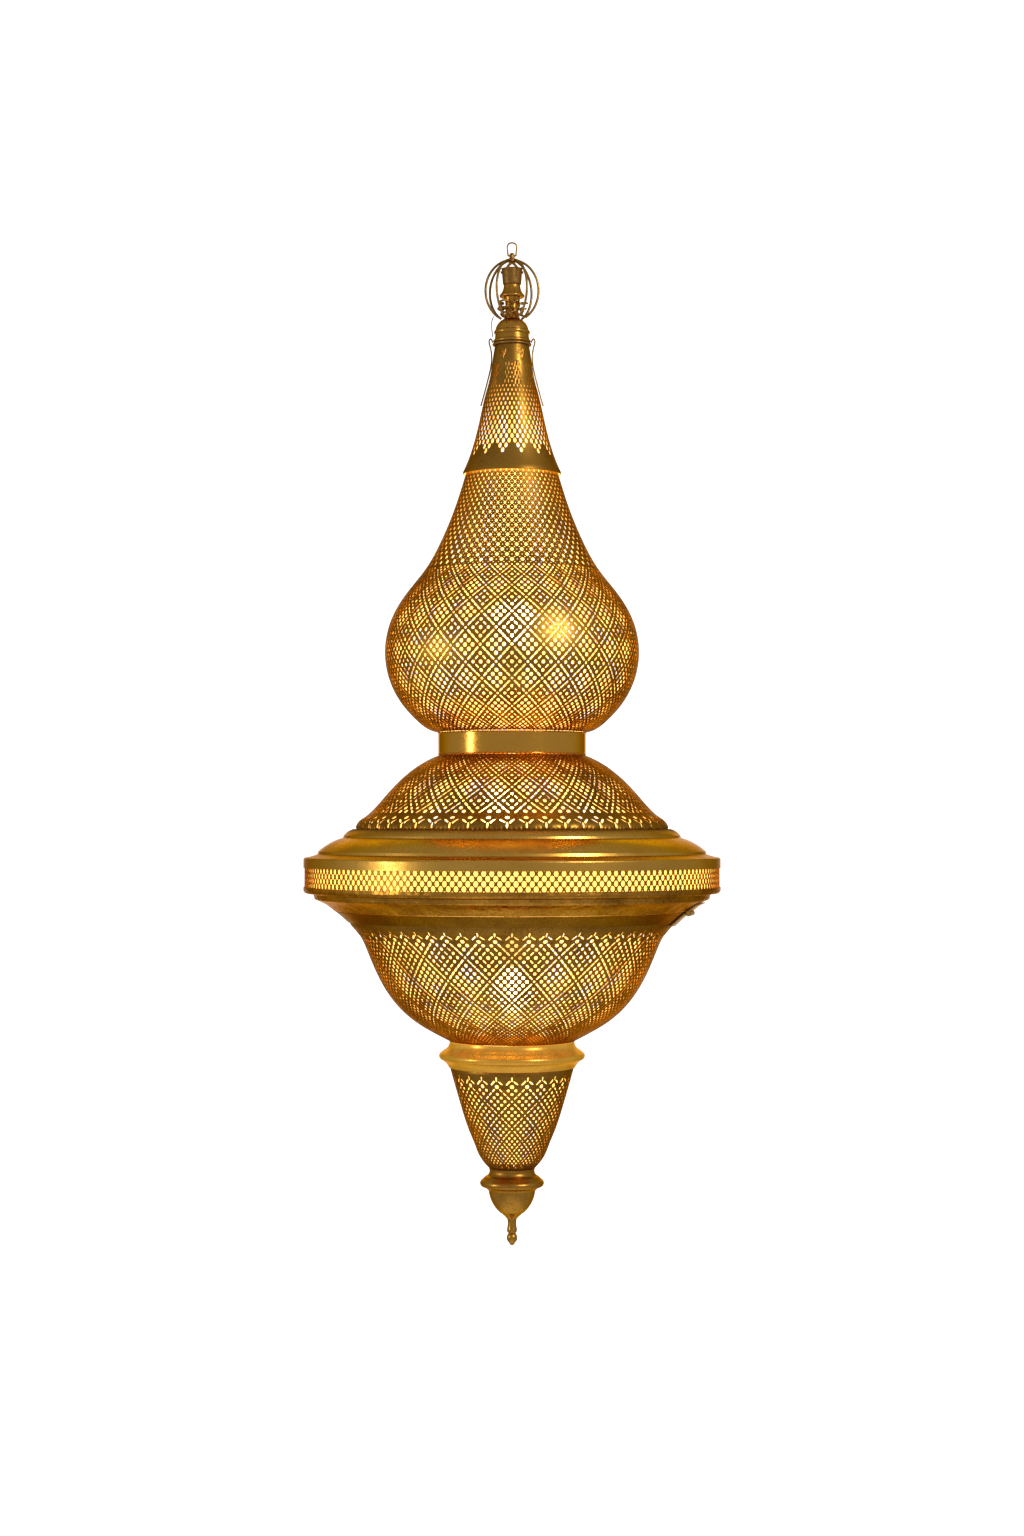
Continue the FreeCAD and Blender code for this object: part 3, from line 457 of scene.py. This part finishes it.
def makeGlowGroup():
    # warm light on the inside of the sheets, stronger near each bulb
    tree = bpy.data.node_groups.new("lampGlow", "ShaderNodeTree")
    given, result = addSockets(tree, [
        ("Vector", "NodeSocketVector"),
        ("Near", "NodeSocketColor", (1.0, 0.86, 0.5, 1)),
        ("Far", "NodeSocketColor", (0.8, 0.4, 0.08, 1)),
        ("Reach", "NodeSocketFloat", 0.12),
    ], [("Color", "NodeSocketColor"), ("Value", "NodeSocketFloat")])
    total = 0.0
    for name in lampNames:
        distance = calcVector(tree, "DISTANCE", given["Vector"], tuple(lampCentre(name)))
        fall = calc(tree, "DIVIDE", distance, given["Reach"])
        light = calc(tree, "DIVIDE", 1.0, calc(tree, "ADD", 1.0, calc(tree, "MULTIPLY", fall, fall)))
        total = calc(tree, "ADD", total, light)
    value = calc(tree, "MINIMUM", total, 1.0)
    mottle = put(tree, "ShaderNodeTexNoise", {"Vector": given["Vector"], "Scale": 60.0}).outputs[0]
    value = calc(tree, "MULTIPLY", value, spread(tree, mottle, 0.3, 0.7, 0.8, 1.1))
    color = mixColor(tree, spread(tree, value, 0.1, 0.7, 0.0, 1.0), given["Far"], given["Near"])
    tree.links.new(color, result["Color"])
    tree.links.new(value, result["Value"])
    return tree


def lampCentre(name):
    low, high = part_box("bulb_glass_" + name)
    return (Vector(low) + Vector(high)) / 2


lampNames = ("upper", "middle", "lower")
patinaGroup = makePatinaGroup()
glowGroup = makeGlowGroup()


def newMaterial(name):
    material = bpy.data.materials.new(name)
    material.use_nodes = True
    tree = material.node_tree
    return material, tree, tree.nodes["Principled BSDF"]


def brassMaterial(name, bright, dark, tarnish, polish, dents, depth=0.0004, glow=None, seam=None):
    material, tree, shader = newMaterial(name)
    place = put(tree, "ShaderNodeTexCoord").outputs["Object"]
    group = put(tree, "ShaderNodeGroup", node_tree=patinaGroup)
    for socket, value in (("Bright", (*bright, 1)), ("Dark", (*dark, 1)), ("Tarnish", tarnish),
                          ("Polish", polish), ("Dents", dents)):
        group.inputs[socket].default_value = value
    tree.links.new(place, group.inputs["Vector"])
    color, rough = group.outputs["Color"], group.outputs["Roughness"]
    if seam:
        # painted shade: the base colour darkens to near black, and the finish roughens, in the corner next to the
        # seam at this radius
        across = calcVector(tree, "LENGTH", calcVector(tree, "MULTIPLY", place, (1, 1, 0)))
        seamShade = spread(tree, across, seam + 0.003, seam + 0.011, 0.85, 0.0)
        color = mixColor(tree, seamShade, color, (0.03, 0.013, 0.002, 1))
        rough = calc(tree, "ADD", rough, calc(tree, "MULTIPLY", seamShade, 0.6))
    tree.links.new(color, shader.inputs["Base Color"])
    tree.links.new(rough, shader.inputs["Roughness"])
    shader.inputs["Metallic"].default_value = 1.0
    shader.inputs["Specular Tint"].default_value = (0.5, 0.3, 0.12, 1)
    bump = put(tree, "ShaderNodeBump", {"Height": group.outputs["Height"], "Distance": depth, "Strength": 0.6})
    tree.links.new(bump.outputs[0], shader.inputs["Normal"])
    if glow:
        light = put(tree, "ShaderNodeGroup", node_tree=glowGroup)
        tree.links.new(place, light.inputs["Vector"])
        light.inputs["Near"].default_value = (*glow["near"], 1)
        light.inputs["Far"].default_value = (*glow["far"], 1)
        light.inputs["Reach"].default_value = glow["reach"]
        dim = put(tree, "ShaderNodeVectorMath", {0: light.outputs["Color"]}, operation="SCALE")
        tree.links.new(light.outputs["Value"], dim.inputs["Scale"])
        tree.links.new(dim.outputs[0], shader.inputs["Emission Color"])
        shader.inputs["Emission Strength"].default_value = glow["strength"]
    return material


def plainMaterial(name, color, rough, metallic=0.0, speckle=0.15, scale=200.0, **extra):
    # a quiet finish with a little cloud and grain, for the fittings inside
    material, tree, shader = newMaterial(name)
    place = put(tree, "ShaderNodeTexCoord").outputs["Object"]
    noise = put(tree, "ShaderNodeTexNoise", {"Vector": place, "Scale": scale, "Detail": 4.0}).outputs[0]
    shade = tuple(c * (1 - speckle) for c in color)
    tree.links.new(mixColor(tree, spread(tree, noise, 0.35, 0.65, 0.0, 1.0), (*shade, 1), (*color, 1)),
                   shader.inputs["Base Color"])
    tree.links.new(spread(tree, noise, 0.3, 0.7, rough - 0.06, rough + 0.08), shader.inputs["Roughness"])
    shader.inputs["Metallic"].default_value = metallic
    for socket, value in extra.items():
        shader.inputs[socket.replace("_", " ")].default_value = value
    return material


def glowMaterial(name, inner, outer, strength, middle, reach):
    # parchment that glows, brightest at the middle given
    material, tree, shader = newMaterial(name)
    place = put(tree, "ShaderNodeTexCoord").outputs["Object"]
    distance = calcVector(tree, "DISTANCE", place, tuple(middle))
    factor = spread(tree, distance, reach * 0.3, reach, 0.0, 1.0)
    noise = put(tree, "ShaderNodeTexNoise", {"Vector": place, "Scale": 90.0}).outputs[0]
    factor = calc(tree, "MULTIPLY", factor, spread(tree, noise, 0.3, 0.7, 0.85, 1.1))
    color = mixColor(tree, factor, (*inner, 1), (*outer, 1))
    tree.links.new(color, shader.inputs["Base Color"])
    tree.links.new(color, shader.inputs["Emission Color"])
    shader.inputs["Emission Strength"].default_value = strength
    shader.inputs["Roughness"].default_value = 0.55
    return material


def glassMaterial(name, tint, glow, strength, alpha):
    material, tree, shader = newMaterial(name)
    place = put(tree, "ShaderNodeTexCoord").outputs["Object"]
    noise = put(tree, "ShaderNodeTexNoise", {"Vector": place, "Scale": 70.0, "Detail": 3.0}).outputs[0]
    tree.links.new(mixColor(tree, spread(tree, noise, 0.3, 0.7, 0.0, 0.4), (*glow, 1), (*tint, 1)),
                   shader.inputs["Emission Color"])
    shader.inputs["Base Color"].default_value = (*tint, 1)
    shader.inputs["Emission Strength"].default_value = strength
    shader.inputs["Alpha"].default_value = alpha
    shader.inputs["Roughness"].default_value = 0.12
    return material


def filamentMaterial(name, middle, reach, strength):
    # the cap's pressed metal, and white-hot within reach of the filament's middle
    material, tree, shader = newMaterial(name)
    place = put(tree, "ShaderNodeTexCoord").outputs["Object"]
    distance = calcVector(tree, "DISTANCE", place, tuple(middle))
    hot = spread(tree, distance, reach * 0.8, reach, 1.0, 0.0)
    noise = put(tree, "ShaderNodeTexNoise", {"Vector": place, "Scale": 260.0}).outputs[0]
    tree.links.new(mixColor(tree, noise, (0.55, 0.54, 0.52, 1), (0.78, 0.77, 0.74, 1)), shader.inputs["Base Color"])
    tree.links.new(mixColor(tree, hot, (0, 0, 0, 1), (1.0, 0.86, 0.55, 1)), shader.inputs["Emission Color"])
    tree.links.new(calc(tree, "SUBTRACT", 1.0, hot), shader.inputs["Metallic"])
    shader.inputs["Roughness"].default_value = 0.3
    shader.inputs["Emission Strength"].default_value = strength
    return material


piercedTree = makePiercedTree()

brightBrass, darkBrass = (0.76, 0.38, 0.060), (0.32, 0.135, 0.017)
innerGlow = {"near": (1.0, 0.74, 0.20), "far": (0.95, 0.42, 0.035), "reach": 0.19, "strength": 2.2}
# painted light: the bowl ring's brass glows warm within a short reach of each bulb
ringGlow = {"near": (1.0, 0.66, 0.12), "far": (0.9, 0.42, 0.035), "reach": 0.05, "strength": 1.3}
materials = {
    "pierced": brassMaterial("piercedBrass", (0.56, 0.28, 0.042), (0.20, 0.085, 0.011), 0.7, 0.32, 0.35),
    "lit": brassMaterial("litBrass", brightBrass, darkBrass, 0.5, 0.35, 0.2, glow=innerGlow),
    "paintedGlowRing": brassMaterial("paintedGlowRingBrass", brightBrass, darkBrass, 0.4, 0.24, 0.3, glow=ringGlow),
    "plain": brassMaterial("agedBrass", brightBrass, darkBrass, 0.6, 0.22, 0.5),
    # the flange carries painted shade in the corner next to the dome's seam
    "flange": brassMaterial("flangeBrass", (0.92, 0.52, 0.10), (0.42, 0.19, 0.024), 0.5, 0.24, 0.4,
                            seam=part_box("shoulder_dome")[1][0]),
    "hammered": brassMaterial("hammeredBrass", (0.80, 0.38, 0.055), (0.26, 0.11, 0.013), 0.8, 0.24, 1.0, 0.0018),
    # painted shade: a darker copy of the brass for the bowl rim, whose cove lies in shade
    "cove": brassMaterial("shadedCoveBrass", (0.38, 0.175, 0.022), (0.14, 0.06, 0.007), 0.6, 0.24, 0.2),
    "polished": brassMaterial("polishedBrass", (0.92, 0.46, 0.07), (0.55, 0.24, 0.03), 0.3, 0.13, 0.05, 0.0001),
    "wire": brassMaterial("brassWire", (0.56, 0.32, 0.085), (0.24, 0.12, 0.028), 0.6, 0.30, 0.1, 0.0002),
    "matte": brassMaterial("matteBrass", (0.48, 0.26, 0.065), (0.22, 0.10, 0.024), 0.7, 0.40, 0.3),
    "worked": brassMaterial("workedBrass", (0.80, 0.48, 0.13), (0.30, 0.14, 0.03), 0.8, 0.22, 1.0, 0.0010),
    "steel": plainMaterial("platedSteel", (0.62, 0.55, 0.40), 0.35, 1.0),
    "porcelain": plainMaterial("porcelain", (0.85, 0.82, 0.74), 0.2, speckle=0.06, Coat_Weight=0.5),
    "bakelite": plainMaterial("bakelite", (0.05, 0.04, 0.035), 0.35, speckle=0.3),
    "lead": plainMaterial("leadSleeve", (0.04, 0.035, 0.03), 0.6, speckle=0.3),
    "parchment": glowMaterial("parchment", (1.0, 0.73, 0.20), (1.0, 0.58, 0.11), 1.0, (0, -0.23, -0.70), 0.5),
}
for name in lampNames:
    materials["glass" + name] = glassMaterial("bulbGlass" + name.capitalize(), (1.0, 0.85, 0.55),
                                              (1.0, 0.78, 0.36), 3.0, 0.35)
    materials["bulb" + name] = filamentMaterial("bulbBase" + name.capitalize(), lampCentre(name), 0.021, 30.0)

# columns round, rows counted in half cells, and pace: how far the cells shrink with the radius
onion = {"name": "piercedOnion", "node": "onion_shell", "body": "lantern", "columns": 104, "rows": 100,
         "pace": 0.7, "splitAt": [32, 64], "sheet": 0.0009, "lap": 0.0001, "holeAt": onionHole}
dome = {"name": "piercedDome", "node": "shoulder_dome", "body": "lantern", "columns": 104, "rows": 28,
        "pace": 0.7, "sheet": 0.0009, "lap": 0.0012, "holeAt": domeHole}
bowl = {"name": "piercedBowl", "node": "bowl_shell", "body": "bowl", "columns": 120, "rows": 44,
        "pace": 0.6, "splitAt": [22], "sheet": 0.0009, "lap": 0.0011, "holeAt": bowlHole}
tail = {"name": "piercedTail", "node": "tail_cone", "body": "bowl", "columns": 48, "rows": 32,
        "pace": 0.4, "sheet": 0.0009, "lap": 0.0010, "holeAt": tailHole}
cone = {"name": "piercedCone", "node": "cone_cap", "body": "lantern", "columns": 42, "rows": 30,
        "pace": 0.2, "sheet": 0.0009, "lap": 0.0, "holeAt": coneHole}
band = {"name": "piercedBand", "node": "lattice_band", "body": "lantern", "columns": 174, "rows": 5,
        "pace": 0.0, "sheet": 0.0009, "lap": 0.0, "holeAt": bandHole}
for piece in (onion, dome, bowl, tail, cone, band):
    pierce(piece)

finishes = {
    "flange": ["upper_flange"],
    "plain": ["tail_ring", "acorn_cup", "finial_drop", "dome_cap", "cap_bead", "finial_vase",
              "neck_sleeve"],
    "hammered": ["lower_flange"],
    "cove": ["bowl_rim"],
    "paintedGlowRing": ["bowl_ring"],
    "polished": ["neck_band"],
    "wire": ["hanging_loop", "crown_knot", "crown_hoop_wide", "crown_hoops_inner", "hanger_strap", "strap_rivets",
             "tie_ring", "tie_wires", "binding_wire"],
    "matte": ["finial_cup", "catch_spring"],
    "worked": ["hinge_fixed_leaf", "hinge_door_leaf", "hinge_pin"],
    "lit": ["main_rod", "neck_spider", "drum_spider", "tail_spider", "tail_rod", "bracket_upper", "bracket_middle"],
    "steel": ["rod_nuts", "rod_washers", "tail_nuts", "holder_coupler", "collar_screws"],
    "porcelain": ["lampholder_upper", "lampholder_middle", "lampholder_lower"],
    "bakelite": ["terminal_block", "cord_bush"],
    "lead": ["lead_upper", "lead_middle"],
    "parchment": ["band_liner"],
}
for finish, names in finishes.items():
    for name in names:
        nodes[name].data.materials.clear()
        nodes[name].data.materials.append(materials[finish])
for name in lampNames:
    for node, finish in (("bulb_glass_" + name, "glass" + name), ("bulb_base_" + name, "bulb" + name)):
        nodes[node].data.materials.clear()
        nodes[node].data.materials.append(materials[finish])
print("finishes set")

studio = {"distance": 2.876, "eyeHeight": -0.640, "aimHeight": -0.5825, "lens": 60.94,
          "sky": 0.32, "key": 24.0, "side": 8.0, "backdrop": 1.0}


def makeStudio():
    world = bpy.data.worlds.new("studio")
    world.use_nodes = True
    world.node_tree.nodes["Background"].inputs[0].default_value = (1.0, 0.985, 0.96, 1)
    world.node_tree.nodes["Background"].inputs[1].default_value = studio["sky"]
    scene.world = world

    backdrop = bpy.data.materials.new("backdrop")
    backdrop.use_nodes = True
    shader = backdrop.node_tree.nodes["Principled BSDF"]
    shader.inputs["Base Color"].default_value = (0.9, 0.9, 0.9, 1)
    shader.inputs["Roughness"].default_value = 0.9
    height = put(backdrop.node_tree, "ShaderNodeSeparateXYZ", {
        0: put(backdrop.node_tree, "ShaderNodeTexCoord").outputs["Object"]}).outputs[2]
    rise = spread(backdrop.node_tree, height, -2.85, -2.4, 0.1, 1.0)
    backdrop.node_tree.links.new(mixColor(backdrop.node_tree, rise, (0, 0, 0, 1), (1, 1, 1, 1)),
                                 shader.inputs["Emission Color"])
    shader.inputs["Emission Strength"].default_value = studio["backdrop"]
    # one sheet: a pale floor well under the lantern that curves up into the wall behind it
    front, floor, wall, top, bend, halfWidth = -4.0, -2.9, 3.0, 1.7, 0.4, 1.4
    line = [(front, floor), (wall - bend, floor)]
    line += [(wall - bend + bend * math.sin(math.radians(a)), floor + bend - bend * math.cos(math.radians(a)))
             for a in range(15, 91, 15)] + [(wall, top)]
    mesh = bpy.data.meshes.new("backdrop")
    mesh.from_pydata([(x, y, z) for y, z in line for x in (-halfWidth, halfWidth)], [],
                     [(2 * k, 2 * k + 1, 2 * k + 3, 2 * k + 2) for k in range(len(line) - 1)])
    for polygon in mesh.polygons:
        polygon.use_smooth = True
    sheet = bpy.data.objects.new("backdrop", mesh)
    sheet.data.materials.append(backdrop)
    scene.collection.objects.link(sheet)

    def softbox(name, place, size, power, tint=(1, 0.97, 0.92)):
        lamp = bpy.data.lights.new(name, "AREA")
        lamp.shape = "RECTANGLE"
        lamp.size, lamp.size_y = size
        lamp.energy = power
        lamp.color = tint
        obj = bpy.data.objects.new(name, lamp)
        obj.location = place
        obj.rotation_euler = (Vector((0, 0, -0.6)) - Vector(place)).to_track_quat("-Z", "Y").to_euler()
        scene.collection.objects.link(obj)

    softbox("keyBox", (1.7, -1.9, 0.6), (0.6, 0.8), studio["key"])
    softbox("sideBox", (-2.2, -0.95, -0.5), (0.2, 0.8), studio["side"])

    camera = bpy.data.objects.new("camera", bpy.data.cameras.new("camera"))
    camera.data.sensor_fit = "VERTICAL"
    camera.data.sensor_height = 36.0
    camera.data.lens = studio["lens"]
    camera.location = (0, -studio["distance"], studio["eyeHeight"])
    target = Vector((0, 0, studio["aimHeight"]))
    camera.rotation_euler = (target - camera.location).to_track_quat("-Z", "Y").to_euler()
    scene.collection.objects.link(camera)
    scene.camera = camera


scene.view_settings.view_transform = "Standard"
makeStudio()
print("studio ready")
